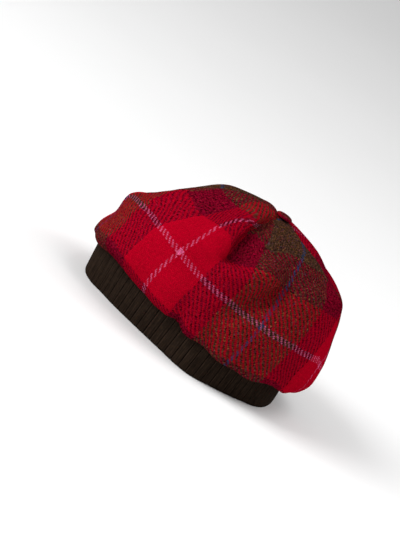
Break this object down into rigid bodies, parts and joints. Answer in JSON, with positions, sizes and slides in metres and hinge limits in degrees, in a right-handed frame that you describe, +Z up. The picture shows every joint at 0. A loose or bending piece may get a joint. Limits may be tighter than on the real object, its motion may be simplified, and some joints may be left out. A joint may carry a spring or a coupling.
{
  "type": "tam o'shanter hat",
  "caption": "Soft wool tam o'shanter: domed tartan crown in two darted half panels, blousing over a ribbed knit head band, with a covered button on top.",
  "frame": {"origin": "on the surface that the band stands on, below the middle of the crown's box", "axes": "+Z up through the crown, the front of the hat faces -Y and the wearer's left side faces +X"},
  "size_m": [0.1994, 0.2348, 0.1467],
  "materials": {
    "tartan_wool": "fulled wool tweed in a large tartan check, 2/2 twill, softly hairy",
    "rib_knit": "dark brown doubled rib knit, matt",
    "button_cloth": "the crown's tartan stretched over a button mould"
  },
  "bodies": {
    "root": {"crown_left_panel": "tartan_wool", "crown_right_panel": "tartan_wool", "rib_band": "rib_knit", "top_button": "button_cloth"}
  },
  "joints": []
}
